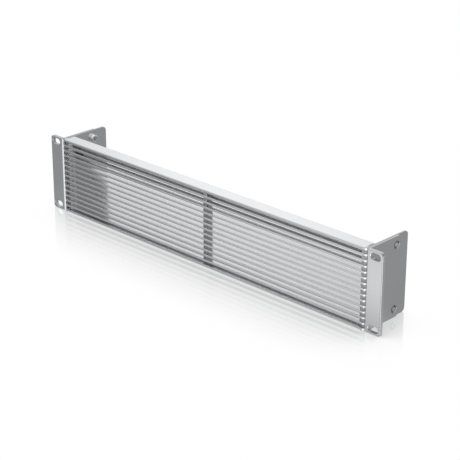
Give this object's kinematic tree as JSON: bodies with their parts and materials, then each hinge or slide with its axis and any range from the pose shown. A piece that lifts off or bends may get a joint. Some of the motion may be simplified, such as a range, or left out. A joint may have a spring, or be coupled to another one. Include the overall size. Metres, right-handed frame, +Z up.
{
  "type": "vented rack panel",
  "caption": "Two-unit vented front panel for a 19-inch rack: a folded sheet with long horizontal slots, side walls and bolted ear brackets.",
  "frame": {"origin": "under the middle of the panel's box, on the surface that it stands on", "axes": "+X to the right along the slots, +Y to the back of the rack, +Z up"},
  "size_m": [0.4826, 0.0636, 0.0874],
  "materials": {
    "panel": "satin silver",
    "bracket": "satin silver",
    "stiffener": "satin silver",
    "screw": "zinc plated",
    "nut": "zinc plated"
  },
  "bodies": {
    "root": {"front_panel": "panel", "ear_bracket_left": "bracket", "ear_bracket_right": "bracket", "corner_angle_left": "stiffener", "corner_angle_right": "stiffener", "centre_stiffener": "stiffener", "screw_top_left": "screw", "screw_bottom_left": "screw", "screw_top_right": "screw", "screw_bottom_right": "screw", "clinch_nut_top_left": "nut", "clinch_nut_bottom_left": "nut", "clinch_nut_top_right": "nut", "clinch_nut_bottom_right": "nut"}
  },
  "joints": []
}
